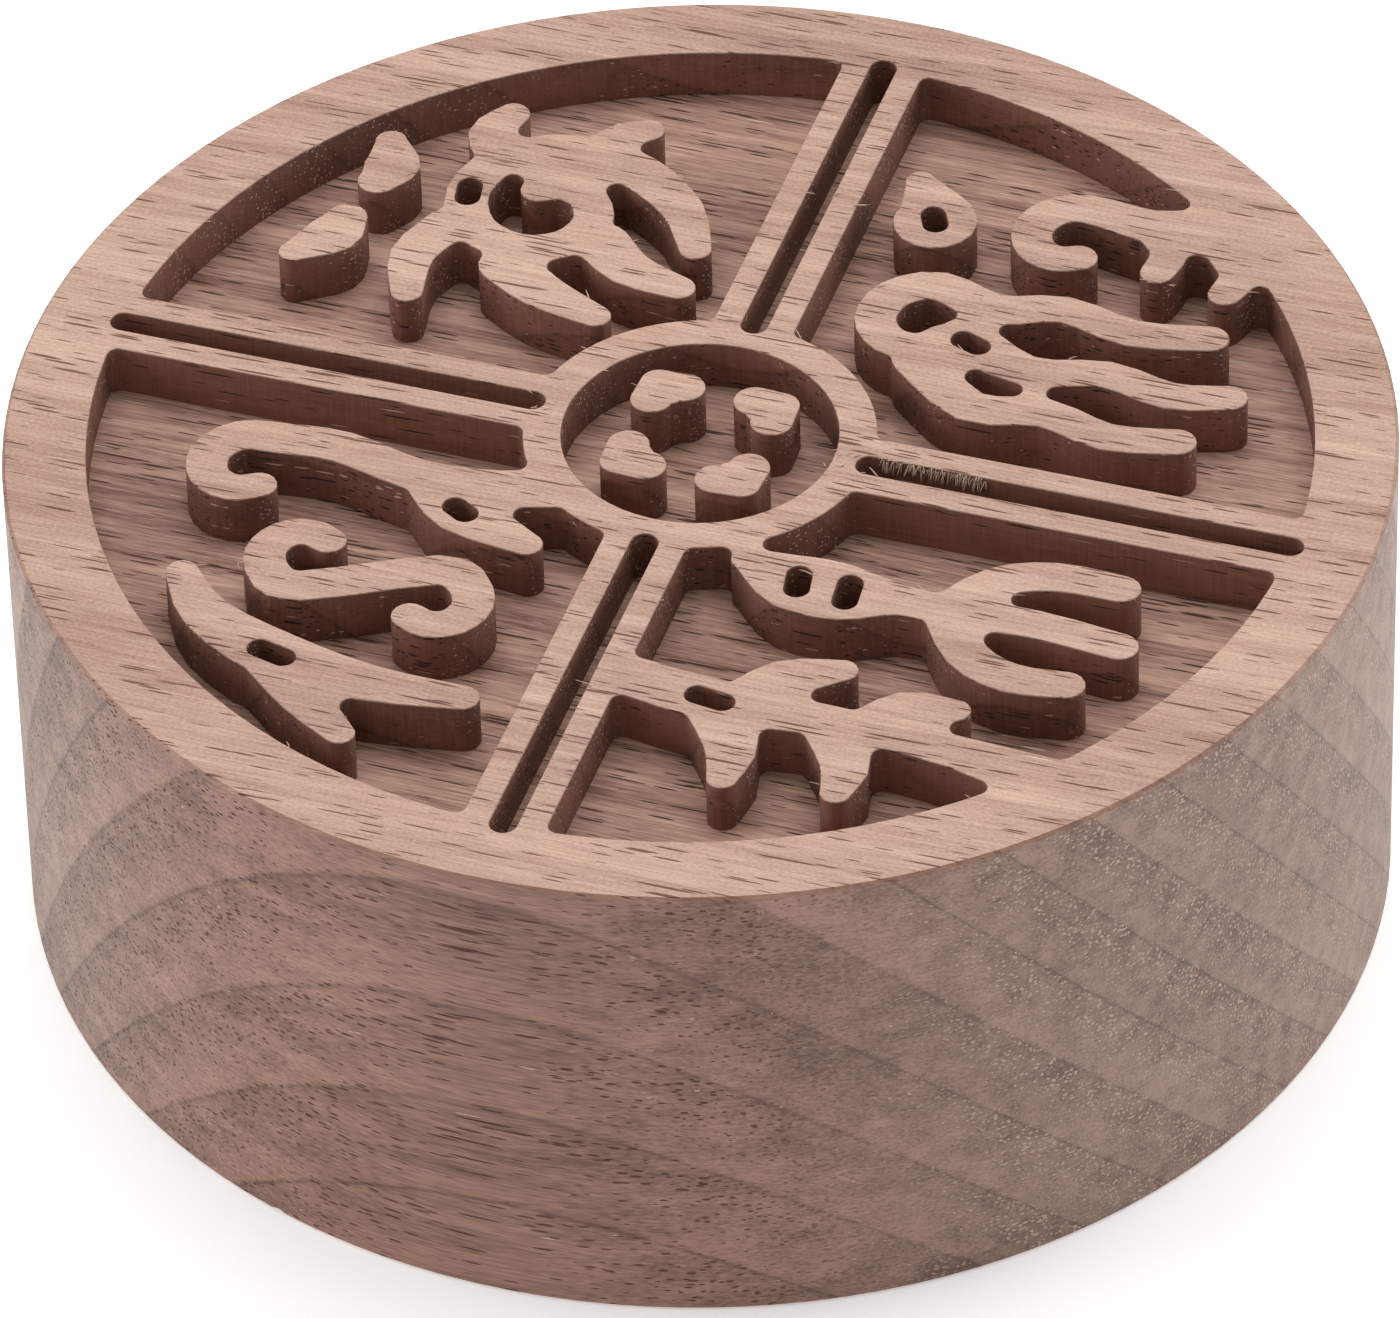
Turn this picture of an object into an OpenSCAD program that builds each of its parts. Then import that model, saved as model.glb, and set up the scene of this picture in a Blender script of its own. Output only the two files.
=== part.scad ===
// Carved relief block: one solid turned drum of walnut.
// Its top face is cut back around a plain band, a cross of slotted arms, a ring with four
// pegs in its well, and a different ornament in each quarter: cloud, waves, vine and sprig.
// Frame: +Z up, origin at the centre of the underside, +X along one slot of the cross.

/* [Block] */
// Diameter of the block
block_d = 100; // [75:1:140]
// Height from the underside to the relief face
block_h = 39; // [15:0.5:80]
// Chamfer that breaks the outer edges, top and bottom
edge_break = 0.25; // [0.05:0.05:1]

/* [Relief] */
// Depth of the background below the relief face
relief_depth = 4; // [1:0.25:10]
// Width of the plain band around the face
rim_w = 6; // [3:0.25:12]
// Radius that the cutter leaves in every inside corner
cutter_r = 0.8; // [0.4:0.1:1]

/* [Cross] */
// Width of each arm, with its slot
arm_w = 6; // [4.5:0.25:10]
// Width of the slot that runs along each arm
slot_w = 2; // [1:0.1:2.5]
// Length of slot that runs on into the plain band
slot_in_rim = 0.9; // [0:0.1:2]
// Wood between the well and the slot's inner end
slot_to_well = 1.7; // [1:0.1:4]

/* [Centre] */
// Diameter of the round well
well_d = 20; // [16:0.5:28]
// Width of the ring around the well
ring_w = 2.7; // [2:0.1:6]
// Distance between neighbouring pegs, centre to centre
peg_pitch = 7.2; // [6.5:0.1:9]
// Size of a peg across its two lobes
peg_w = 5.7; // [4:0.1:6]

/* [Ornament] */
// Width of an ordinary stroke
stroke_w = 2.8; // [2:0.1:3.4]
// Width of the small oval holes
eye_w = 1.9; // [1:0.1:2.4]

/* [Hidden] */

walnut = [0.62, 0.47, 0.39];
field_r = block_d / 2 - rim_w;
ring_r = well_d / 2 + ring_w;
// The ornaments are drawn for a quarter this wide, and follow the real one's width
drawn_quarter_w = 41;
layout = (field_r - arm_w / 2) / drawn_quarter_w;
// The cutting tool starts this far above the face
clear = 1;
// The background is drawn this far in under the plain band, which is then taken from it
under_band = rim_w / 3;
big_arc_fn = 120;
small_arc_fn = 24;
flow_steps = 3;
// Angle between the points of a stroke's round end
cap_step = 22.5;
// The peg's circles as shares of its width: lobes, outer corner and its place, and middle
peg_lobe = 0.27;
peg_corner = 0.23;
peg_corner_out = 0.26;
peg_middle = 0.22;

// ---- Strokes: each is a list of [x, y, width], width being a share of stroke_w ----

// Points along an arc or spiral, while radius, angle and width run from the first to the second
function sweep(centre, radius, angle, width, steps) = [
    for (i = [0 : steps])
        let (
            t = i / steps,
            r = radius[0] + (radius[1] - radius[0]) * t,
            a = angle[0] + (angle[1] - angle[0]) * t
        )
        [centre[0] + r * cos(a), centre[1] + r * sin(a), width[0] + (width[1] - width[0]) * t]
];

// A smooth curve through the points, with flow_steps steps between each two
function flow(p) =
    let (last = len(p) - 1)
    concat([
        for (i = [0 : last - 1], k = [0 : flow_steps - 1])
            let (
                before = p[max(i - 1, 0)],
                after = p[min(i + 2, last)],
                t = k / flow_steps
            )
            p[i]
            + (p[i + 1] - before) * t / 2
            + (2 * before - 5 * p[i] + 4 * p[i + 1] - after) * t * t / 2
            + (3 * p[i] - before - 3 * p[i + 1] + after) * t * t * t / 2
    ], [p[last]]);

// The way a curve runs at its point i, as an angle
function heading(p, i) =
    let (d = p[min(i + 1, len(p) - 1)] - p[max(i - 1, 0)])
    atan2(d[1], d[0]);

// Half a circle about a stroke's end, from its right-hand side to its left
function cap(p, way) = [
    for (a = [-90 + cap_step : cap_step : 90 - cap_step])
        [p[0] + p[2] * cos(way + a), p[1] + p[2] * sin(way + a)]
];

// A brush stroke with round ends along a smooth curve
module stroke(points) {
    p = flow([for (q = points) [q[0] * layout, q[1] * layout, q[2] * stroke_w / 2]]);
    last = len(p) - 1;
    side = function(i, s)
        let (way = heading(p, i))
        [p[i][0] - s * p[i][2] * sin(way), p[i][1] + s * p[i][2] * cos(way)];
    polygon(concat(
        [for (i = [0 : last]) side(i, -1)],
        cap(p[last], heading(p, last)),
        [for (i = [last : -1 : 0]) side(i, 1)],
        cap(p[0], heading(p, 0) + 180)
    ));
}

// A small oval hole: place, half the length of its straight sides, and the way it leans
module eye(x, y, reach, lean) {
    translate([x * layout, y * layout]) rotate(lean) {
        square([2 * reach * layout, eye_w], center = true);
        for (side = [-1, 1])
            translate([side * reach * layout, 0]) circle(d = eye_w, $fn = small_arc_fn);
    }
}

// ---- Ornaments: each fills the quarter where x and y are positive ----
// x and y run outwards from the edges of the two arms that meet there

module cloud() {
    // The great curl opens into a tail along its top
    stroke(concat(
        sweep([15.8, 18.2], [2.2, 7.2], [-300, 90], [1, 1.2], 9),
        [[10.6, 24.2, 1.35], [6.2, 21, 1.15], [3.8, 16.8, 0.85]]
    ));
    // Billows on its back
    stroke([[20.6, 22.6, 1.2], [22.4, 25.4, 1.25], [21.6, 28, 0.9]]);
    stroke([[12.4, 24.6, 1.4], [13.2, 27.4, 1.2], [11.4, 29, 0.85]]);
    // Tails below
    stroke([[10.6, 15.6, 1.5], [7.6, 13.2, 1.3], [3.6, 12.2, 0.9]]);
    stroke([[16.4, 11.2, 1.5], [13, 9, 1.3], [8.4, 7.4, 0.85]]);
    stroke([[22, 14.4, 1.3], [23.4, 10.4, 1.2], [22.4, 6.2, 0.85]]);
    // Two drops beside the band
    stroke([[29.2, 22.4, 0.85], [28.2, 19.8, 1.5], [28.6, 17.8, 1.1]]);
    stroke([[29.4, 13, 1.1], [29.8, 10.8, 1.5], [31.8, 8.2, 0.8]]);
}

module cloud_eyes() {
    eye(9.6, 19.2, 0.55, 60);
    eye(21.8, 18.4, 0.65, 80);
}

module waves() {
    // A curl that runs out in three long swells
    stroke(concat(
        sweep([8.6, 13.4], [2.2, 4.4], [330, 90], [1, 1.15], 5),
        [[13.2, 16.4, 1.2], [18, 17.8, 1.05], [23.4, 16.6, 1.05], [29, 17.6, 1]]
    ));
    stroke([[12, 12.6, 1.6], [17.4, 10.4, 1.15], [23, 11.6, 1.05], [28, 10.6, 1.05], [32.2, 11.6, 0.95]]);
    stroke([[9.4, 9.4, 1.3], [14.6, 5.4, 1.2], [20, 6.2, 1.1], [25, 4.9, 1.05], [30, 5.8, 1]]);
    // The breaking crest, which grows out of the band, with its foam
    stroke(concat(
        sweep([16.2, 25.6], [2.1, 3.8], [300, 90], [1, 1.15], 5),
        [[21, 28.8, 1.3], [25.4, 29.2, 1.9], [30, 29, 2.2]]
    ));
    stroke([[22, 28.4, 1.2], [23.4, 26.2, 1], [23.2, 23.8, 0.9]]);
    stroke([[27.6, 27.4, 1.2], [29, 25.2, 1.05], [28.6, 22.8, 0.9]]);
    // A bubble
    stroke([[6, 24.8, 2.2], [5.6, 26, 2], [3.6, 29, 0.8]]);
}

module waves_eyes() {
    eye(5.9, 25, 0.55, 115);
    eye(12.6, 12.2, 0.65, -20);
}

module vine() {
    // The stem runs out from the ring and curls over at its far end
    stroke(concat(
        [[4.2, 5.4, 1.6], [9, 7, 1.4], [15, 7.2, 1.2], [21, 5.8, 1.2]],
        sweep([26.8, 9.8], [3.9, 2.2], [-110, 130], [1.2, 0.95], 5)
    ));
    // Leaf below the stem
    stroke([[14, 7.6, 1.2], [10.4, 10.2, 1.6], [5, 12.2, 0.85]]);
    // Double curl in the middle
    stroke(concat(
        sweep([19.6, 17.6], [2, 3.6], [-120, 100], [0.95, 1.15], 5),
        sweep([9.4, 20.2], [3.6, 2], [-80, -300], [1.15, 0.95], 5)
    ));
    // Long leaf at the foot
    stroke([[27.4, 22, 0.85], [24.2, 25.8, 1.3], [18, 28.6, 1.7], [11, 29.6, 1.35], [4, 29.2, 0.9]]);
    stroke([[18.4, 29, 1.4], [14.6, 32.4, 1.25], [11, 35.2, 0.8]]);
}

module vine_eyes() {
    eye(18.4, 28.5, 0.95, -14);
    eye(10.7, 10, 0.55, -30);
}

module sprig() {
    // Broad leaf, and at the end of its stalk a flower of three petals
    stroke([[4.6, 9.2, 0.9], [8.4, 10.6, 2.1], [12.4, 10.8, 2.1], [16.4, 10.4, 1.15], [20.4, 10.6, 1.2]]);
    stroke([[19.6, 10.6, 1.2], [26, 10.2, 1.05], [32.4, 10.8, 1]]);
    stroke([[19.6, 10.6, 1.2], [22.2, 6.6, 1.15], [26, 4.9, 1.1], [30.8, 4.8, 1]]);
    stroke([[19.6, 10.6, 1.2], [22.4, 14.6, 1.15], [26, 16.2, 1.1], [30, 15.8, 1]]);
    // Twig from the arm to the band, with leaves on both sides
    stroke([[-2, 23.2, 1.4], [7, 24.4, 1.5], [16, 24.2, 1.15], [25, 24.8, 1.2], [34, 26.4, 2]]);
    stroke([[8, 24.4, 1.1], [11, 20.8, 1.4], [14.6, 18.8, 0.8]]);
    stroke([[17.4, 24.2, 1], [20, 21.4, 1.25], [23.4, 20.6, 0.8]]);
    stroke([[6, 24.2, 1.2], [9.4, 28.2, 1.4], [10, 32, 0.8]]);
    stroke([[14.4, 24.2, 1], [17.6, 27.8, 1.3], [18, 31.2, 0.8]]);
}

module sprig_eyes() {
    eye(8.7, 10.6, 0.75, 80);
    eye(12.4, 10.7, 0.95, 85);
    eye(6.6, 24.3, 0.95, 8);
}

// Puts an ornament in its quarter, with x and y pointing away from the centre
module quarter(sx, sy) {
    translate([sx * arm_w / 2, sy * arm_w / 2])
        mirror([sx < 0 ? 1 : 0, 0]) mirror([0, sy < 0 ? 1 : 0])
            children();
}

module ornaments() {
    quarter(-1, 1) cloud();
    quarter(1, 1) waves();
    quarter(-1, -1) vine();
    quarter(1, -1) sprig();
}

module eyes() {
    quarter(-1, 1) cloud_eyes();
    quarter(1, 1) waves_eyes();
    quarter(-1, -1) vine_eyes();
    quarter(1, -1) sprig_eyes();
}

// ---- The face, in plan ----

// Arms and ring, run on under the plain band
module cross_and_ring() {
    square([block_d, arm_w], center = true);
    square([arm_w, block_d], center = true);
    circle(r = ring_r, $fn = big_arc_fn);
}

module band() {
    difference() {
        circle(d = block_d, $fn = big_arc_fn);
        circle(r = field_r, $fn = big_arc_fn);
    }
}

// All that is left standing outside the well; every inside corner gets the cutter's radius
module standing() {
    offset(r = -cutter_r, $fn = small_arc_fn) offset(delta = cutter_r) {
        cross_and_ring();
        band();
        ornaments();
    }
}

module background() {
    difference() {
        circle(r = field_r + under_band, $fn = big_arc_fn);
        standing();
    }
    eyes();
}

module slots() {
    inner = well_d / 2 + slot_to_well;
    outer = field_r + slot_in_rim;
    for (turn = [0 : 90 : 270])
        rotate(turn) {
            translate([inner + slot_w / 2, -slot_w / 2])
                square([outer - inner - slot_w, slot_w]);
            for (x = [inner + slot_w / 2, outer - slot_w / 2])
                translate([x, 0]) circle(d = slot_w, $fn = small_arc_fn);
        }
}

// The straight sides between two circles [x, y, radius], along their outer tangents
module tangents(p, q) {
    d = [q[0] - p[0], q[1] - p[1]];
    way = atan2(d[1], d[0]);
    lean = acos((p[2] - q[2]) / norm(d));
    polygon([
        for (end = [[p, 1], [p, -1], [q, -1], [q, 1]])
            let (c = end[0], a = way + end[1] * lean)
            [c[0] + c[2] * cos(a), c[1] + c[2] * sin(a)]
    ]);
}

// A peg has two lobes and an outer corner, and the dip between the lobes faces the centre
module peg() {
    lobe_r = peg_w * peg_lobe;
    corner = [peg_w * peg_corner_out, 0, peg_w * peg_corner];
    circle(r = peg_w * peg_middle, $fn = small_arc_fn);
    translate([corner[0], 0]) circle(r = corner[2], $fn = small_arc_fn);
    for (side = [-1, 1]) {
        lobe = [0, side * (peg_w / 2 - lobe_r), lobe_r];
        translate([lobe[0], lobe[1]]) circle(r = lobe_r, $fn = small_arc_fn);
        tangents(lobe, corner);
    }
}

module well() {
    difference() {
        circle(d = well_d, $fn = big_arc_fn);
        for (turn = [45 : 90 : 315])
            rotate(turn) translate([peg_pitch / sqrt(2), 0]) peg();
    }
}

// ---- The solid ----

module drum() {
    r = block_d / 2;
    rotate_extrude($fn = big_arc_fn)
        polygon([
            [0, 0], [r - edge_break, 0], [r, edge_break],
            [r, block_h - edge_break], [r - edge_break, block_h], [0, block_h]
        ]);
}

module carved_block() {
    color(walnut)
        difference() {
            drum();
            translate([0, 0, block_h - relief_depth]) {
                linear_extrude(relief_depth + clear) background();
                linear_extrude(relief_depth + clear) slots();
                linear_extrude(relief_depth + clear) well();
            }
        }
}

carved_block();
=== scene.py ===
import math
import random
import bpy
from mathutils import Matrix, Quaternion, Vector


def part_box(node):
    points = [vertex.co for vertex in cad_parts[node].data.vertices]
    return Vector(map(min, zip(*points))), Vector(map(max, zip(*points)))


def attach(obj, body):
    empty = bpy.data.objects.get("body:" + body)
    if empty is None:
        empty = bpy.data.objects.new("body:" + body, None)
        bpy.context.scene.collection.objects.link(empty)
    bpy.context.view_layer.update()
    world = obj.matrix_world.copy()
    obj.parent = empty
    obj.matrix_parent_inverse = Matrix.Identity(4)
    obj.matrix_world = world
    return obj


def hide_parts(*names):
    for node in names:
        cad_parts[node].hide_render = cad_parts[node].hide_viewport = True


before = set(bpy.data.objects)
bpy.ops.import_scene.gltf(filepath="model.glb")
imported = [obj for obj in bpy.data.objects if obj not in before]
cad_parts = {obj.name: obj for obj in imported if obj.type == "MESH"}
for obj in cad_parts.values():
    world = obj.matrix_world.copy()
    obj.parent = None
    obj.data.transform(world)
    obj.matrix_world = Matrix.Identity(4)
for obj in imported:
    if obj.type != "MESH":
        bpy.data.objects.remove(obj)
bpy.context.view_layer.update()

# Carved relief block: one turned piece of walnut, its face routed and its side sanded.
# Metres. Z is up, and the grain of the wood runs along X.

mm = 0.001
node = "carved_block"
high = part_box(node)[1]
faceZ = high.z
blockR = high.x
print("loaded the frame: block", round(blockR * 2 / mm), "mm across,", round(faceZ / mm), "mm high")


def linear(hexColour):
    channels = [int(hexColour[i:i + 2], 16) / 255 for i in (1, 3, 5)]
    return [c / 12.92 if c <= 0.04045 else ((c + 0.055) / 1.055) ** 2.4 for c in channels] + [1]


def addNode(tree, kind, links=None, stops=None, out=0, **settings):
    new = tree.nodes.new("ShaderNode" + kind)
    for name, value in settings.items():
        setattr(new, name, value)
    for key, value in (links or {}).items():
        if isinstance(value, bpy.types.NodeSocket):
            tree.links.new(value, new.inputs[key])
        else:
            new.inputs[key].default_value = value
    if stops:
        ramp = new.color_ramp
        while len(ramp.elements) < len(stops):
            ramp.elements.new(1)
        for element, (place, grey) in zip(ramp.elements, stops):
            element.position = place
            element.color = (grey, grey, grey, 1)
    return new.outputs[out] if new.outputs else new


# Growth rings run along the board, round a pith that is outside the block. Lengths are in mm.
wood = {
    "pith": (0, 215, 162),         # where the pith passes x = 0
    "pithDrift": (-0.27, 0.48),    # how far it moves in y and z for each mm of x
    "yearWidth": 4.4,
    "yearShift": 0.39,
    "yearShare": 0.2,              # how much of a ring's tone is that year's own
    "sway": 2.4,                   # how far the grain wanders, times noise that runs from -0.5 to 0.5
    "swayWay": (0, 0.8, 0.6),      # and which way
    "ringSway": 0.6,               # the same for the rings, in years
    # how large each pattern is along x, y and z
    "swaySize": (45, 30, 30),
    "fibreSize": (5, 0.2, 0.2),
    "streakSize": (40, 1.6, 1.6),
    "patchSize": (60, 12, 12),
    "fibreShare": 1.3,             # fibres count for more than streaks
    "patchShare": 0.6,
    "endGrain": (0.25, 0.95),      # how squarely a surface looks along the board: none, and all end grain
    "dustSide": (0.3, 0.75),       # the same, for pores packed with dust
    "pores": (                 # spacing on end grain, length in spacings, radius in spacings
        (0.36, 14, 0.30),
        (0.42, 26, 0.27),
    ),
    "poreShift": 31.7,             # keeps the second kind of pore off the first
    "poreSizes": (0.4, 1.15),      # smallest and largest, as shares of the radius
    "poreEdge": 0.7,               # where a pore's edge starts to fade, as a share of its size
    "poreDullness": 0.3,
}

# What each tool leaves behind, and where noted, painted shade and painted reflection. Colours are sRGB; the
# end ones are for end grain.
finishes = {
    # Walnut, flat-sanded: pale, pinkish and matt, with grit marks 0.2 mm wide and open pores as fine dashes
    "walnutSandedFace": {
        "light": "#d5b2a0", "dark": "#926c5c", "endLight": "#d5b2a0", "endDark": "#926c5c",
        "pore": "#5c3222", "endPore": "#d9bdab", "dust": 0.03, "poreTone": 0.85, "packed": 1,
        "ring": 0.35, "fibre": 0.65, "poreDepth": 0.03, "fibreDepth": 0.006,
        "roughness": 0.62, "marks": ((0.3, 0.18, 0.2), 0.008), "markTone": 0.75,
    },
    # Walnut, routed floor: darker and redder than the face, partly the routed wood's own tone and partly
    # painted shade of the recesses, with long dark pores and short fibres lifted by the cutter's end
    "walnutRoutedFloor": {
        "light": "#c49d8a", "dark": "#765143", "endLight": "#c49d8a", "endDark": "#765143",
        "pore": "#3d2016", "endPore": "#dcc3b3", "dust": 0.1, "poreTone": 0.9, "packed": 1,
        "ring": 0.55, "fibre": 1.1, "poreDepth": 0.08, "fibreDepth": 0.014,
        "roughness": 0.72, "marks": ((1.2, 0.2, 1), 0.04), "markTone": 0.55,
    },
    # Walnut, routed wall: red-brown, darker and redder than the face as painted shade of the recesses, with
    # upright chatter from the cutter's flank 0.25 mm apart
    "walnutRoutedWall": {
        "light": "#966552", "dark": "#543024", "endLight": "#8a5f4f", "endDark": "#52332a",
        "pore": "#2e140d", "endPore": "#c9a896", "dust": 0.22, "poreTone": 0.9, "packed": 1,
        "ring": 0.6, "fibre": 0.45, "poreDepth": 0.05, "fibreDepth": 0.004,
        "roughness": 0.6, "marks": ((0.25, 0.25, 3.5), 0.012), "markTone": 0.55,
    },
    # Walnut, side sanded on a drum: long grain brown, darker than the face as painted shade of the side
    # turned from the lamps;
    # end grain greyer, partly as painted reflection of the white surroundings where the side faces along X,
    # near the outline at left and right; its pores dark on one side of the block and packed with dust on the
    # other, and scratches all round it, drawn 0.12 mm wide
    "walnutSandedSide": {
        "light": "#a57c6b", "dark": "#644235", "endLight": "#a58778", "endDark": "#614a40",
        "pore": "#4a2115", "endPore": "#c4a997", "dust": 0.07, "poreTone": 0.85, "packed": 1.4,
        "ring": 0.8, "fibre": 1.0, "poreDepth": 0.07, "fibreDepth": 0.009,
        "roughness": 0.52, "marks": ((1.2, 1.2, 0.12), 0.014), "markTone": 0.75,
    },
    # Walnut, planed underside: flat, pale and matt, with knife marks across the grain 1.5 mm apart
    "walnutPlanedUnderside": {
        "light": "#c4a291", "dark": "#8b6a5b", "endLight": "#c4a291", "endDark": "#8b6a5b",
        "pore": "#4c2d21", "endPore": "#d9bdab", "dust": 0.04, "poreTone": 0.85, "packed": 1,
        "ring": 0.5, "fibre": 0.8, "poreDepth": 0.04, "fibreDepth": 0.006,
        "roughness": 0.6, "marks": ((1.5, 60, 60), 0.004), "markTone": 0.12,
    },
    # Walnut, broken edge: a hairline, browner than the face
    "walnutBrokenEdge": {
        "light": "#ab8470", "dark": "#734f41", "endLight": "#ab8470", "endDark": "#734f41",
        "pore": "#462c22", "endPore": "#8c634f", "dust": 0.0, "poreTone": 0.85, "packed": 1,
        "ring": 0.5, "fibre": 0.8, "poreDepth": 0.02, "fibreDepth": 0.006,
        "roughness": 0.55, "marks": ((1.5, 1.5, 0.2), 0.004), "markTone": 0.6,
    },
}


def makeWalnut(name, look):
    made = bpy.data.materials.new(name)
    made.use_nodes = True
    tree = made.node_tree
    tree.nodes.clear()

    # Object coordinates in millimetres, then bent a little, as the grain of a real board is
    place = addNode(tree, "TexCoord", out=3)
    straight = addNode(tree, "VectorMath", {0: place, "Scale": 1 / mm}, operation="SCALE")
    slow = addNode(tree, "Mapping", {0: straight, "Scale": [1 / m for m in wood["swaySize"]]})
    wander = addNode(tree, "TexNoise", {"Vector": slow, "Scale": 1, "Detail": 0})
    wander = addNode(tree, "Math", {0: wander, 1: 0.5}, operation="SUBTRACT")
    reach = addNode(tree, "Math", {0: wander, 1: wood["sway"]}, operation="MULTIPLY")
    bend = addNode(tree, "VectorMath", {0: wood["swayWay"], "Scale": reach}, operation="SCALE")
    grain = addNode(tree, "VectorMath", {0: straight, 1: bend}, operation="ADD")

    # Years since the pith: each starts with many wide pores, turns pale, and ends in a thin dark line
    driftY, driftZ = wood["pithDrift"]
    away = addNode(tree, "VectorMath", {0: grain, 1: wood["pith"]}, operation="SUBTRACT")
    awayY = addNode(tree, "VectorMath", {0: away, 1: (-driftY, 1, 0)}, operation="DOT_PRODUCT", out=1)
    awayZ = addNode(tree, "VectorMath", {0: away, 1: (-driftZ, 0, 1)}, operation="DOT_PRODUCT", out=1)
    away = addNode(tree, "CombineXYZ", {1: awayY, 2: awayZ})
    distance = addNode(tree, "VectorMath", {0: away}, operation="LENGTH", out=1)
    years = addNode(tree, "Math", {0: distance, 1: 1 / wood["yearWidth"], 2: wood["yearShift"]},
                    operation="MULTIPLY_ADD")
    years = addNode(tree, "Math", {0: wander, 1: wood["ringSway"], 2: years}, operation="MULTIPLY_ADD")
    season = addNode(tree, "Math", {0: years}, operation="FRACT")
    year = addNode(tree, "Math", {0: years}, operation="FLOOR")
    yearTone = addNode(tree, "TexWhiteNoise", {"W": year}, noise_dimensions="1D")
    seasonTone = addNode(tree, "ValToRGB", {0: season}, [
        (0.0, 0.2), (0.04, 0.38), (0.35, 0.46), (0.6, 0.62), (0.9, 0.72), (0.95, 0.6), (0.98, 0.02),
    ])
    seasonPores = addNode(tree, "ValToRGB", {0: season}, [
        (0.0, 1.0), (0.4, 1.0), (0.62, 0.72), (0.9, 0.5), (1.0, 0.9),
    ])
    ringTone = addNode(tree, "Math", {0: seasonTone, 1: 1 - wood["yearShare"]}, operation="MULTIPLY")
    ringTone = addNode(tree, "Math", {0: yearTone, 1: wood["yearShare"], 2: ringTone},
                       operation="MULTIPLY_ADD")

    # Fibres 0.2 mm wide, broader streaks, and slow patches of colour
    thin = addNode(tree, "Mapping", {0: grain, "Scale": [1 / m for m in wood["fibreSize"]]})
    thin = addNode(tree, "TexNoise", {"Vector": thin, "Scale": 1, "Detail": 1, "Roughness": 0.6})
    broad = addNode(tree, "Mapping", {0: grain, "Scale": [1 / m for m in wood["streakSize"]]})
    broad = addNode(tree, "TexNoise", {"Vector": broad, "Scale": 1, "Detail": 1})
    patch = addNode(tree, "Mapping", {0: grain, "Scale": [1 / m for m in wood["patchSize"]]})
    patch = addNode(tree, "TexNoise", {"Vector": patch, "Scale": 1, "Detail": 1})

    # End grain shows where the surface looks along the board. On the +X side pale dust packs its pores
    normal = addNode(tree, "NewGeometry", out=1)
    facing = addNode(tree, "SeparateXYZ", {0: normal})
    end = addNode(tree, "Math", {0: facing}, operation="ABSOLUTE")
    none, full = wood["endGrain"]
    end = addNode(tree, "MapRange", {0: end, 1: none, 2: full}, interpolation_type="SMOOTHSTEP")
    none, full = wood["dustSide"]
    packed = addNode(tree, "MapRange", {0: facing, 1: none, 2: full}, interpolation_type="SMOOTHSTEP")
    spread = addNode(tree, "MapRange", {0: packed, 3: 1, 4: look["packed"]})

    # Pores: long thin vessels, each cut open where it meets the surface
    poreMask = 0.0
    smallest, largest = wood["poreSizes"]
    for turn, (gap, length, radius) in enumerate(wood["pores"]):
        pores = addNode(tree, "Mapping", {0: grain, "Scale": (1 / (gap * length), 1 / gap, 1 / gap),
                                          "Location": (wood["poreShift"] * turn, 0, 0)})
        near = addNode(tree, "TexVoronoi", {"Vector": pores, "Scale": 1})
        luck = near.node.outputs["Color"]
        size = addNode(tree, "MapRange", {0: luck, 3: smallest * radius, 4: largest * radius})
        size = addNode(tree, "Math", {0: size, 1: seasonPores}, operation="MULTIPLY")
        size = addNode(tree, "Math", {0: size, 1: spread}, operation="MULTIPLY")
        near = addNode(tree, "Math", {0: near, 1: size}, operation="DIVIDE")
        one = addNode(tree, "MapRange", {0: near, 1: wood["poreEdge"], 2: 1, 3: 1, 4: 0},
                      interpolation_type="SMOOTHSTEP")
        poreMask = addNode(tree, "Math", {0: one, 1: poreMask}, operation="MAXIMUM")
    dustLuck = addNode(tree, "SeparateColor", {0: luck}, out=1)
    dustLuck = addNode(tree, "Math", {0: dustLuck, 1: look["dust"]}, operation="LESS_THAN")
    dusty = addNode(tree, "Math", {0: packed, 1: dustLuck}, operation="MAXIMUM")

    # Tool marks: their size in mm along x, y and z, and their height in mm
    markSize, markHeight = look["marks"]
    marks = addNode(tree, "Mapping", {0: straight, "Scale": [1 / m for m in markSize]})
    marks = addNode(tree, "TexNoise", {"Vector": marks, "Scale": 1, "Detail": 1, "Roughness": 0.6})

    # Colour
    tone = 0.5
    for part, share in ((ringTone, look["ring"]), (thin, wood["fibreShare"] * look["fibre"]),
                        (broad, look["fibre"]), (patch, wood["patchShare"]), (marks, look["markTone"])):
        centred = addNode(tree, "Math", {0: part, 1: 0.5}, operation="SUBTRACT")
        tone = addNode(tree, "Math", {0: centred, 1: share, 2: tone}, operation="MULTIPLY_ADD")
    tone = addNode(tree, "Clamp", {0: tone})
    # On the side, the walls and the floors, light and dark are set darker than the face's, as painted shade
    body = addNode(tree, "Mix", {0: tone, 6: linear(look["dark"]), 7: linear(look["light"])},
                   data_type="RGBA", out=2)
    # End colours: on the side greyer, partly as painted reflection of the white surroundings
    endGrainAndSheenBody = addNode(tree, "Mix", {0: tone, 6: linear(look["endDark"]), 7: linear(look["endLight"])},
                      data_type="RGBA", out=2)
    body = addNode(tree, "Mix", {0: end, 6: body, 7: endGrainAndSheenBody}, data_type="RGBA", out=2)
    hollow = addNode(tree, "Mix", {0: dusty, 6: linear(look["pore"]), 7: linear(look["endPore"])},
                     data_type="RGBA", out=2)
    filled = addNode(tree, "Math", {0: poreMask, 1: look["poreTone"]}, operation="MULTIPLY")
    colour = addNode(tree, "Mix", {0: filled, 6: body, 7: hollow}, data_type="RGBA", out=2)

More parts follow.
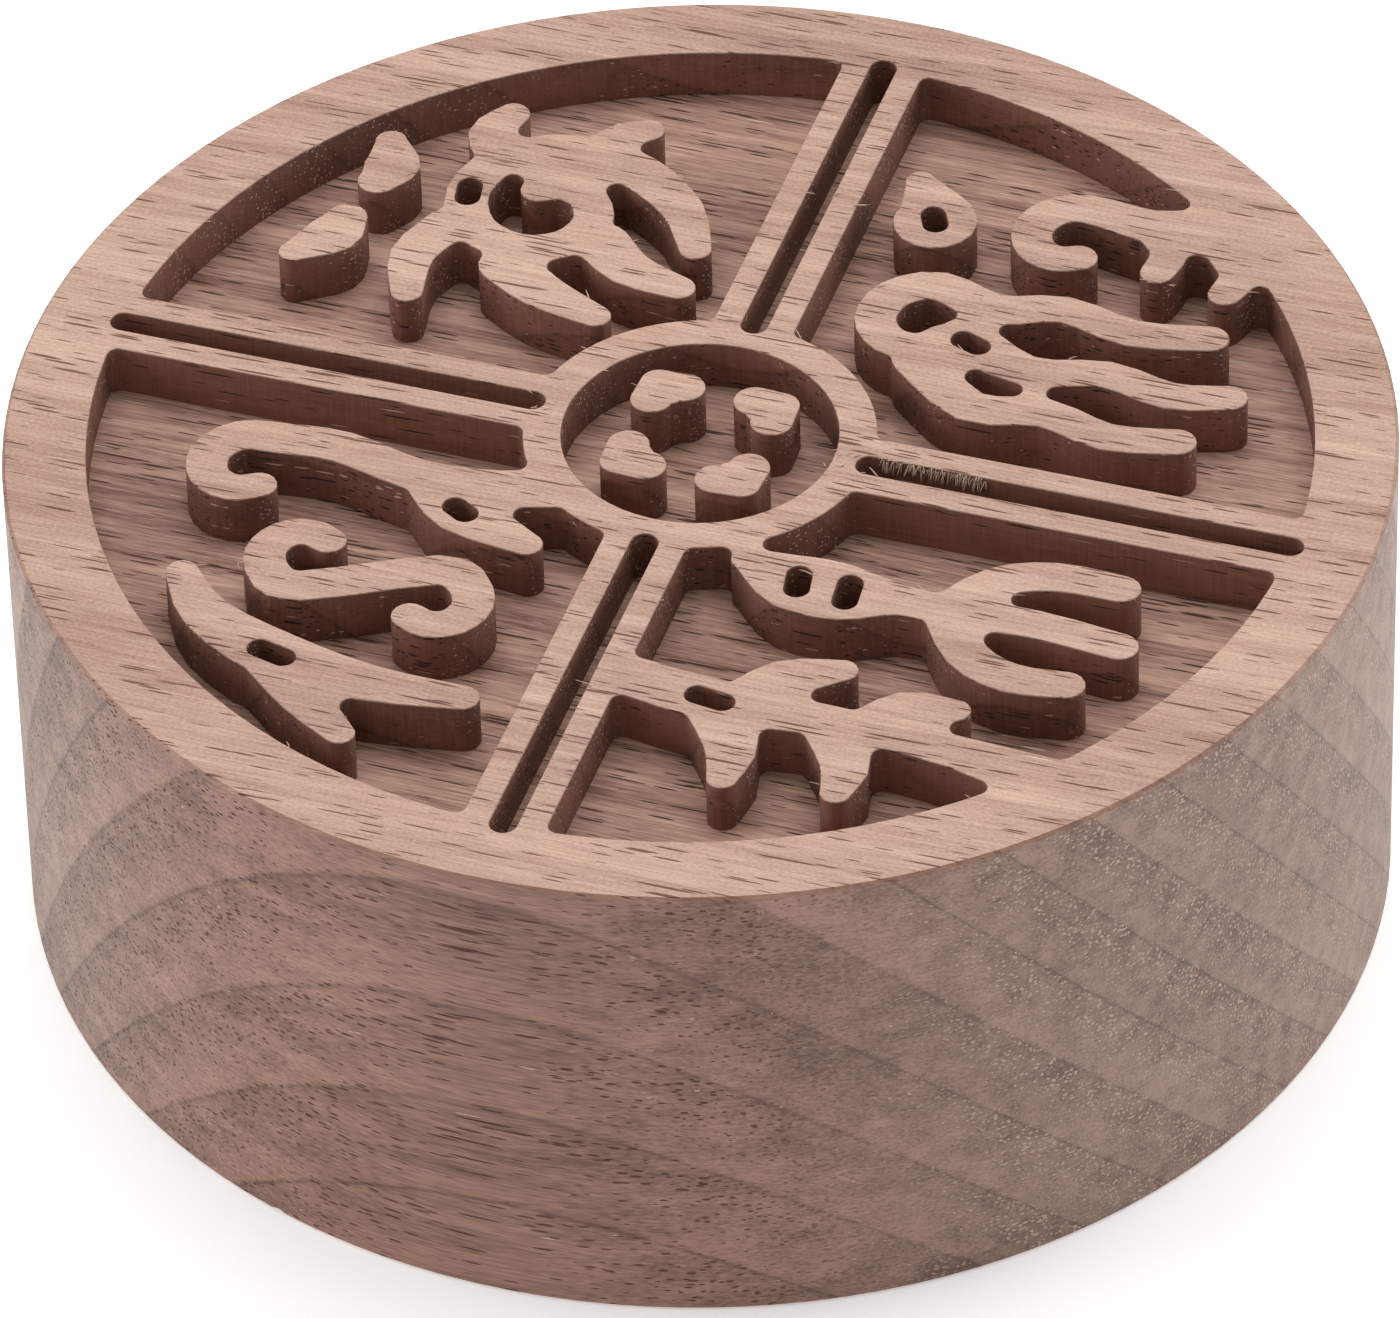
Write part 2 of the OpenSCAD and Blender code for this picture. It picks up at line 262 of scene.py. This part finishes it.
    # Relief that is too fine for the mesh, in mm; the inside of a pore is duller than the wood round it
    height = addNode(tree, "Math", {0: poreMask, 1: -look["poreDepth"]}, operation="MULTIPLY")
    height = addNode(tree, "Math", {0: thin, 1: look["fibreDepth"], 2: height}, operation="MULTIPLY_ADD")
    height = addNode(tree, "Math", {0: marks, 1: markHeight, 2: height}, operation="MULTIPLY_ADD")
    bump = addNode(tree, "Bump", {"Height": height, "Distance": mm, "Strength": 1})
    dull = addNode(tree, "Math", {0: poreMask, 1: wood["poreDullness"], 2: look["roughness"]},
                   operation="MULTIPLY_ADD")
    shader = addNode(tree, "BsdfPrincipled", {
        "Base Color": colour, "Roughness": dull, "Normal": bump, "IOR": 1.5, "Specular IOR Level": 0.5,
    })
    addNode(tree, "OutputMaterial", {0: shader})
    return made


block = {
    "weld": 0.035 * mm,        # points closer than this become one
    "flat": 0.6,               # degrees between faces that count as one flat face
    "rounding": 0.12 * mm,     # sandpaper's rounding of the cut edges
    "roundingSteps": 2,
    "smoothBelow": 32,         # degrees
    "onFace": 0.001 * mm,      # how near the face's level a point has to be to lie on it
    "cutBelow": 0.5,           # cosine between two faces that meet at a cut edge
    "levelCosine": 0.95,       # a surface that looks up or down more than this is level
    "wallCosine": 0.3,         # and one that does so less than this is a wall
    "edgeBand": 0.5 * mm,      # what lies this near the outside or the face belongs to it
    "undersideArea": 600 * mm * mm,    # no side face is as large as this
    "chipRoughness": 0.16,
    # chips off the outer edges: azimuth in degrees, top or bottom, length along the edge and depth in mm
    "chips": (
        (-110, "bottom", 1.5, 0.45), (-72, "bottom", 0.9, 0.25), (-31, "bottom", 1.1, 0.3),
        (64, "bottom", 1.3, 0.35), (158, "bottom", 1.0, 0.3), (-48, "top", 1.0, 0.22), (121, "top", 0.9, 0.2),
    ),
}


def selectOnly(thing):
    bpy.ops.object.select_all(action="DESELECT")
    thing.select_set(True)
    bpy.context.view_layer.objects.active = thing


def makeBlock():
    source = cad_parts[node]
    made = source.copy()
    made.data = source.data.copy()
    made.name = made.data.name = "walnut_block"
    made.parent = None
    for key in list(made.keys()):
        del made[key]
    bpy.context.collection.objects.link(made)
    selectOnly(made)
    bpy.ops.mesh.customdata_custom_splitnormals_clear()
    bpy.ops.object.mode_set(mode="EDIT")
    bpy.ops.mesh.select_all(action="SELECT")
    bpy.ops.mesh.remove_doubles(threshold=block["weld"])
    bpy.ops.mesh.dissolve_limited(angle_limit=math.radians(block["flat"]))
    bpy.ops.mesh.select_mode(type="EDGE")
    bpy.ops.mesh.select_all(action="DESELECT")
    bpy.ops.object.mode_set(mode="OBJECT")

    # Only the edges between the face and the walls are rounded; the floors meet the walls sharp
    mesh = made.data
    sides = {}
    for polygon in mesh.polygons:
        for key in polygon.edge_keys:
            sides.setdefault(key, []).append(polygon.normal.copy())
    cuts = []
    for edge in mesh.edges:
        ends = [mesh.vertices[i].co.copy() for i in edge.vertices]
        normals = sides[edge.key]
        onFace = all(abs(end.z - faceZ) < block["onFace"] for end in ends)
        edge.select = onFace and len(normals) == 2 and normals[0].dot(normals[1]) < block["cutBelow"]
        if edge.select:
            wall = min(normals, key=lambda normal: normal.z)
            cuts.append(((ends[0] + ends[1]) / 2, wall, (ends[0] - ends[1]).length))
    bpy.ops.object.mode_set(mode="EDIT")
    bpy.ops.mesh.bevel(offset=block["rounding"], segments=block["roundingSteps"], profile=0.5,
                       affect="EDGES", clamp_overlap=False, loop_slide=False)
    bpy.ops.mesh.select_all(action="DESELECT")
    bpy.ops.object.mode_set(mode="OBJECT")
    print("block:", len(mesh.polygons), "faces after rounding the cut edges")
    return made, cuts


def chipEdges(made):
    # Each chip is cut by a rough lump that lies along the edge
    for number, (azimuth, level, length, depth) in enumerate(block["chips"]):
        turn = math.radians(azimuth)
        height = faceZ if level == "top" else 0
        bpy.ops.object.select_all(action="DESELECT")
        bpy.ops.mesh.primitive_ico_sphere_add(subdivisions=2, radius=1)
        lump = bpy.context.object
        chance = random.Random(number)
        for vertex in lump.data.vertices:
            vertex.co *= 1 + chance.uniform(-block["chipRoughness"], block["chipRoughness"])
        lump.scale = (depth * mm, length * mm / 2, depth * mm)
        lump.rotation_euler = (0, 0, turn)
        lump.location = (blockR * math.cos(turn), blockR * math.sin(turn), height)
        selectOnly(lump)
        bpy.ops.object.transform_apply(location=True, rotation=True, scale=True)
        selectOnly(made)
        cut = made.modifiers.new("chip", "BOOLEAN")
        cut.operation = "DIFFERENCE"
        cut.solver = "EXACT"
        cut.object = lump
        bpy.ops.object.modifier_apply(modifier=cut.name)
        bpy.data.objects.remove(lump)
    print("block:", len(block["chips"]), "chips taken off the outer edges")


def finishBlock(made):
    mesh = made.data
    mesh.materials.clear()
    order = list(finishes)
    for name in order:
        mesh.materials.append(makeWalnut(name, finishes[name]))
    for polygon in mesh.polygons:
        up = polygon.normal.z
        out = max(Vector(mesh.vertices[i].co[:2]).length for i in polygon.vertices)
        outer = out > blockR - block["edgeBand"] and polygon.area < block["undersideArea"]
        onFace = polygon.center.z > faceZ - block["edgeBand"]
        # Routed floors take colours partly darkened as painted shade
        if up > block["levelCosine"]:
            name = "walnutSandedFace" if onFace else "walnutRoutedFloor"
        elif up < -block["levelCosine"]:
            name = "walnutPlanedUnderside"
        # The outer side and the routed walls take colours darker than the face's, as painted shade
        elif abs(up) < block["wallCosine"]:
            name = "walnutSandedSide" if outer else "walnutRoutedWall"
        else:
            name = "walnutBrokenEdge" if outer else "walnutSandedFace"
        polygon.material_index = order.index(name)
    selectOnly(made)
    bpy.ops.object.shade_smooth_by_angle(angle=math.radians(block["smoothBelow"]))
    print("block: finished in", len(order), "kinds of walnut surface")


walnutBlock, cutEdges = makeBlock()
chipEdges(walnutBlock)
finishBlock(walnutBlock)
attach(walnutBlock, "root")
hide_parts(node)

# Fibres that the cutter left standing along the edges it cut
fibres = {
    "seed": 7,
    "loose": 70,               # scattered along the cut edges
    "length": (0.3, 1.1),      # mm
    "thickness": (0.06, 0.11),    # mm
    "rises": (0.10, 0.07, 0.02, -0.04),    # how far each quarter of one climbs, as a share of its length
    "thins": (0.95, 0.85, 0.75, 0.35),     # and how much of its thickness is left at each step
    # tufts where the grain tore: x and y in mm, how many, and how far they spread
    "tufts": ((17, 1.0, 7, 3.0), (17, -1.0, 5, 3.0), (-16.8, 1.0, 3, 0.9), (-12.2, -1.0, 3, 0.6),
              (27, 24, 5, 1.2), (-27, -23, 5, 1.0), (21, -13, 4, 0.9), (-30, 1.0, 3, 1.5)),
    "sink": 0.05,              # mm that a root lies below its edge
    "leastShare": 0.02,        # even an edge along the grain holds a few
    # directions, as parts of a vector whose first is one along the grain
    "aside": 0.35,
    "climb": (0.02, 0.25),
    "lean": (0.2, 0.9),        # out over the cut
    "twist": 0.9,              # radians
    # a fringe that hangs from one side of a slot: from and to in x, its y, all in mm, and how many
    "fringe": (13.4, 21.3, 1.0, 130),
    "fringeSinks": (1, 9),     # how deep its roots lie, in sinks
    "fringeLean": (-0.6, -0.15),
}


def makeSplinter():
    # One splinter, a unit long and a unit thick, that starts at the origin and curls up as it thins
    bpy.ops.object.select_all(action="DESELECT")
    bpy.ops.mesh.primitive_circle_add(vertices=4, radius=0.5, fill_type="NGON",
                                      rotation=(0, math.pi / 2, 0))
    bpy.ops.object.transform_apply(location=False, rotation=True, scale=False)
    made = bpy.context.object
    bpy.ops.object.mode_set(mode="EDIT")
    step = 1 / len(fibres["rises"])
    for rise, thin in zip(fibres["rises"], fibres["thins"]):
        bpy.ops.mesh.extrude_region_move(TRANSFORM_OT_translate={"value": (step, 0, 0)})
        bpy.ops.transform.resize(value=(1, thin, thin))
        bpy.ops.transform.translate(value=(0, 0, rise / step))
    bpy.ops.mesh.select_all(action="SELECT")
    bpy.ops.mesh.normals_make_consistent(inside=False)
    bpy.ops.object.mode_set(mode="OBJECT")
    return made


def placeSplinter(splinter, chance, root, ahead):
    made = splinter.copy()
    made.data = splinter.data.copy()
    bpy.context.collection.objects.link(made)
    length = chance.uniform(*fibres["length"]) * mm
    thick = chance.uniform(*fibres["thickness"]) * mm
    made.rotation_mode = "QUATERNION"
    twist = Quaternion((1, 0, 0), chance.uniform(-fibres["twist"], fibres["twist"]))
    made.rotation_quaternion = ahead.to_track_quat("X", "Z") @ twist
    made.scale = (length, thick, thick)
    made.location = root
    return made


def makeFibres():
    chance = random.Random(fibres["seed"])
    # The more squarely an edge cuts across the grain, the more fibres it holds
    likely = [max(fibres["leastShare"], abs(wall.x)) * length for middle, wall, length in cutEdges]
    roots = [cutEdges[i][:2] for i in chance.choices(range(len(cutEdges)), likely, k=fibres["loose"])]
    for x, y, count, spread in fibres["tufts"]:
        near = sorted(cutEdges, key=lambda cut: (cut[0].x / mm - x) ** 2 + (cut[0].y / mm - y) ** 2)[0]
        for number in range(count):
            shift = Vector((chance.uniform(-spread, spread) * mm, 0, 0))
            roots.append((near[0] + shift, near[1]))
    sink = Vector((0, 0, fibres["sink"] * mm))
    aside = fibres["aside"]
    splinter = makeSplinter()
    made = []
    for root, away in roots:
        # Each lies nearly along the grain and leans out over the cut
        along = Vector((chance.choice((-1, 1)), chance.uniform(-aside, aside),
                        chance.uniform(*fibres["climb"])))
        ahead = along + away * chance.uniform(*fibres["lean"])
        made.append(placeSplinter(splinter, chance, root - sink, ahead))
    start, stop, level, count = fibres["fringe"]
    for number in range(count):
        root = Vector((chance.uniform(start, stop) * mm, level * mm, faceZ))
        root -= chance.uniform(*fibres["fringeSinks"]) * sink
        ahead = Vector((chance.uniform(-aside, aside), chance.uniform(*fibres["fringeLean"]), -1))
        made.append(placeSplinter(splinter, chance, root, ahead))
    bpy.data.objects.remove(splinter)
    bpy.ops.object.select_all(action="DESELECT")
    for thing in made:
        thing.select_set(True)
    bpy.context.view_layer.objects.active = made[0]
    bpy.ops.object.join()
    bpy.ops.object.transform_apply(location=True, rotation=True, scale=True)
    bpy.ops.object.shade_smooth()
    joined = bpy.context.object
    joined.name = joined.data.name = "torn_fibres"
    joined.data.materials.clear()
    joined.data.materials.append(makeTornWood())
    print("fibres:", len(made), "torn fibres along the cut edges")
    return joined


# Walnut, torn: bare fibre, pale, dry and matt, and a little mottled. The mottle's size is in metres
tornWood = {
    "light": "#dcc3b2",
    "dark": "#a07d6a",
    "mottle": 0.6 * mm,
    "roughness": 0.75,
}


def makeTornWood():
    made = bpy.data.materials.new("walnutTornFibre")
    made.use_nodes = True
    tree = made.node_tree
    tree.nodes.clear()
    place = addNode(tree, "TexCoord", out=3)
    mottle = addNode(tree, "TexNoise", {"Vector": place, "Scale": 1 / tornWood["mottle"], "Detail": 1})
    colour = addNode(tree, "Mix", {0: mottle, 6: linear(tornWood["dark"]), 7: linear(tornWood["light"])},
                     data_type="RGBA", out=2)
    shader = addNode(tree, "BsdfPrincipled", {"Base Color": colour, "Roughness": tornWood["roughness"]})
    addNode(tree, "OutputMaterial", {0: shader})
    return made


tornFibres = makeFibres()
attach(tornFibres, "root")

studio = {
    "floorSize": 6.0,
    "floorColour": "#f6f6f6",
    "floorRoughness": 0.9,
    "floorGlow": 0.35,         # as paper lit from below, so that shadows on it stay soft and pale
    "worldColour": "#ffffff",
    "worldStrength": 0.37,
    # each light: where it stands, how wide and high, its power in watts
    "overhead": ((-0.05, 0.25, 0.9), 0.9, 0.7, 6.0),
    "left": ((-0.82, -0.2, 0.3), 0.7, 0.5, 4.0),
    "right": ((0.7, 0.62, 0.3), 0.7, 0.5, 4.3),
}


def makeFloor():
    bpy.ops.object.select_all(action="DESELECT")
    bpy.ops.mesh.primitive_plane_add(size=studio["floorSize"], location=(0, 0, 0))
    floor = bpy.context.object
    floor.name = "studio_floor"
    paper = bpy.data.materials.new("paleMattPaper")
    paper.use_nodes = True
    shader = paper.node_tree.nodes["Principled BSDF"]
    shader.inputs["Base Color"].default_value = linear(studio["floorColour"])
    shader.inputs["Roughness"].default_value = studio["floorRoughness"]
    shader.inputs["Emission Color"].default_value = (1, 1, 1, 1)
    shader.inputs["Emission Strength"].default_value = studio["floorGlow"]
    floor.data.materials.append(paper)


def makeLights():
    middle = Vector((0, 0, faceZ / 2))
    for name in ("overhead", "left", "right"):
        place, wide, deep, power = studio[name]
        data = bpy.data.lights.new(name, "AREA")
        data.shape = "RECTANGLE"
        data.size = wide
        data.size_y = deep
        data.energy = power
        light = bpy.data.objects.new(name, data)
        light.location = place
        light.rotation_euler = (middle - Vector(place)).to_track_quat("-Z", "Y").to_euler()
        bpy.context.collection.objects.link(light)
    world = bpy.data.worlds.new("studio")
    world.use_nodes = True
    background = world.node_tree.nodes["Background"]
    background.inputs["Color"].default_value = linear(studio["worldColour"])
    background.inputs["Strength"].default_value = studio["worldStrength"]
    bpy.context.scene.world = world
    bpy.context.scene.view_settings.view_transform = "Standard"


# Degrees, metres, and the lens and sensor in mm
view = {
    "round": 19.05,
    "above": 40.895,
    "distance": 0.890,
    "aim": (0.00306, -0.01019, 0.02673),
    "lens": 319.69,
    "sensor": 36,
    "nearest": 0.01,
    "roll": -1.548,
}


def makeCamera():
    data = bpy.data.cameras.new("camera")
    data.lens = view["lens"]
    data.sensor_width = view["sensor"]
    data.clip_start = view["nearest"]
    camera = bpy.data.objects.new("camera", data)
    turn, above = math.radians(view["round"]), math.radians(view["above"])
    back = Vector((math.sin(turn) * math.cos(above), -math.cos(turn) * math.cos(above), math.sin(above)))
    camera.location = Vector(view["aim"]) + back * view["distance"]
    level = (-back).to_track_quat("-Z", "Y")
    camera.rotation_mode = "QUATERNION"
    camera.rotation_quaternion = level @ Quaternion((0, 0, 1), math.radians(view["roll"]))
    bpy.context.collection.objects.link(camera)
    bpy.context.scene.camera = camera


makeFloor()
makeLights()
makeCamera()
print("studio: floor, lights and camera ready")
